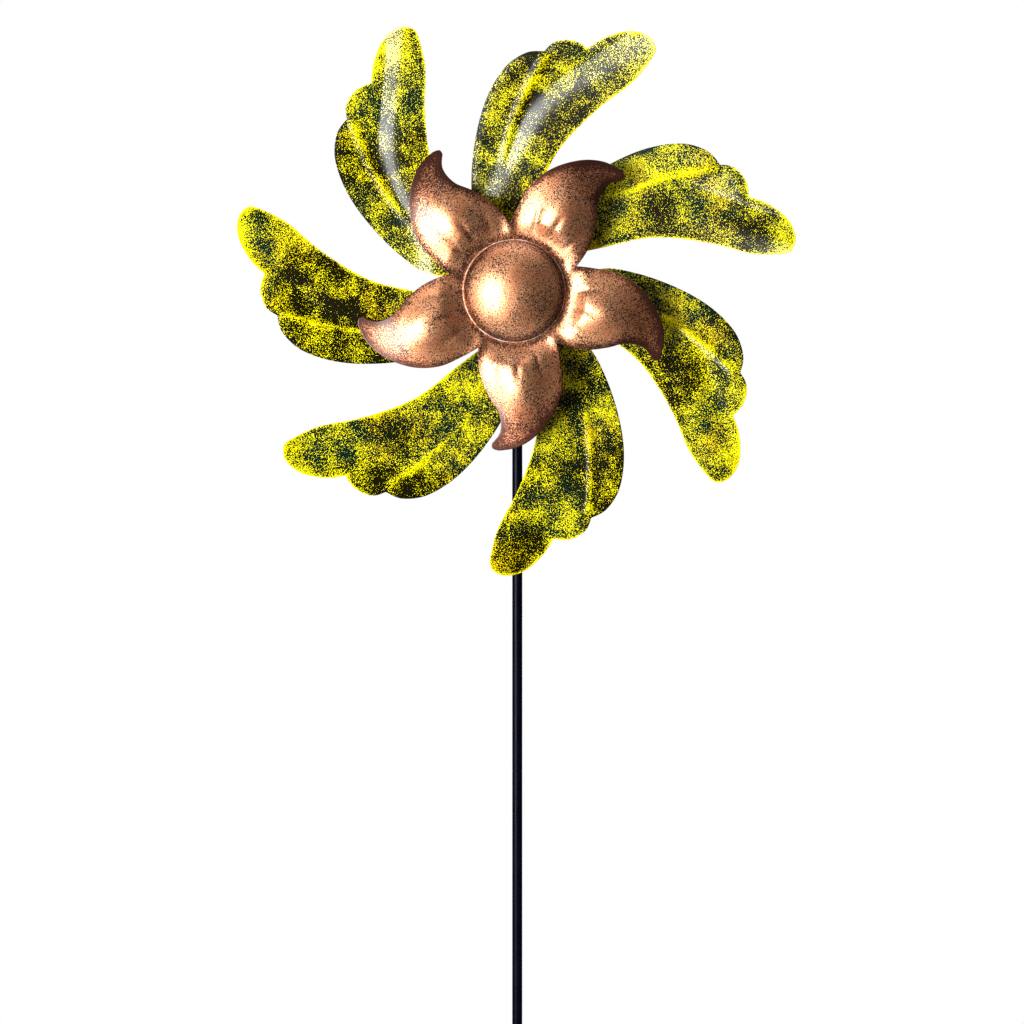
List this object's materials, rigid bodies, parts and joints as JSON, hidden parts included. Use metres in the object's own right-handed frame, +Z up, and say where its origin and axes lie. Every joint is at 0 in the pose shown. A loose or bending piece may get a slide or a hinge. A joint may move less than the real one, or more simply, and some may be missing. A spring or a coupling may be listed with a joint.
{
  "type": "wind spinner",
  "caption": "Garden wind spinner: a wheel of curved stamped leaves behind a domed copper flower, both free on one axle, on a sectional pole with a step-in ground spike.",
  "frame": {"origin": "on the pole axis at the ground line, where the ground spike begins", "axes": "+Z up along the pole; -Y is the way the flower and leaves face, along the axle; +X to the right of someone who looks at the face"},
  "size_m": [0.5907, 0.1368, 1.8776],
  "materials": {
    "leaf_enamel": "near-black green enamel under a fine hard-edged yellow spatter, glossy",
    "copper_enamel": "copper-coloured metallic enamel with fine dark brown speckle, satin gloss",
    "black_enamel": "black gloss enamel",
    "zinc_steel": "zinc-plated fasteners, axle and spacers",
    "bearing_steel": "ground bearing steel",
    "nylon": "natural nylon"
  },
  "bodies": {
    "stake": {"ground_spike": "black_enamel", "ground_fork": "black_enamel", "fork_welds": "black_enamel", "lower_pole": "black_enamel", "middle_pole": "black_enamel", "upper_pole": "black_enamel", "lower_coupling": "zinc_steel", "upper_coupling": "zinc_steel", "pole_top_plug": "black_enamel"},
    "head": {"axle_head": "black_enamel", "clamp_screw": "black_enamel", "axle": "zinc_steel", "rear_cap_nut": "zinc_steel", "rear_washer": "zinc_steel", "front_washer": "zinc_steel", "axle_jam_nut": "zinc_steel", "rear_spacer": "zinc_steel", "leaf_bearing_inner_rings": "bearing_steel", "leaf_inner_spacer": "zinc_steel", "wheel_spacer": "zinc_steel", "flower_bearing_inner_rings": "bearing_steel", "flower_inner_spacer": "zinc_steel", "end_washer": "zinc_steel", "lock_nut": "zinc_steel", "lock_nut_insert": "nylon"},
    "leaf_wheel": {"leaf_hub": "black_enamel", "leaf_plate": "black_enamel", "plate_rivets": "zinc_steel", "leaf_screws": "zinc_steel", "leaf_washers": "zinc_steel", "leaf_nuts": "zinc_steel", "leaf_bearing_outer_rings": "bearing_steel", "leaf_bearing_balls": "bearing_steel", "leaf_bearing_cages": "bearing_steel", "leaf_bearing_shields": "bearing_steel", "leaf_1": "leaf_enamel", "leaf_2": "leaf_enamel", "leaf_3": "leaf_enamel", "leaf_4": "leaf_enamel", "leaf_5": "leaf_enamel", "leaf_6": "leaf_enamel", "leaf_7": "leaf_enamel"},
    "flower_wheel": {"flower_hub": "zinc_steel", "flower": "copper_enamel", "flower_rivets": "zinc_steel", "cap_ring": "zinc_steel", "hub_cap": "copper_enamel", "flower_bearing_outer_rings": "bearing_steel", "flower_bearing_balls": "bearing_steel", "flower_bearing_cages": "bearing_steel", "flower_bearing_shields": "bearing_steel"}
  },
  "joints": [
    {"name": "head_swivel", "type": "hinge", "parent": "stake", "child": "head", "pos_m": [0, 0, 1.41], "axis": [0, 0, 1], "continuous": true},
    {"name": "leaf_wheel_spin", "type": "hinge", "parent": "head", "child": "leaf_wheel", "pos_m": [0, -0.042, 1.41], "axis": [0, 1, 0], "continuous": true},
    {"name": "flower_wheel_spin", "type": "hinge", "parent": "head", "child": "flower_wheel", "pos_m": [0, -0.076, 1.41], "axis": [0, 1, 0], "continuous": true}
  ]
}
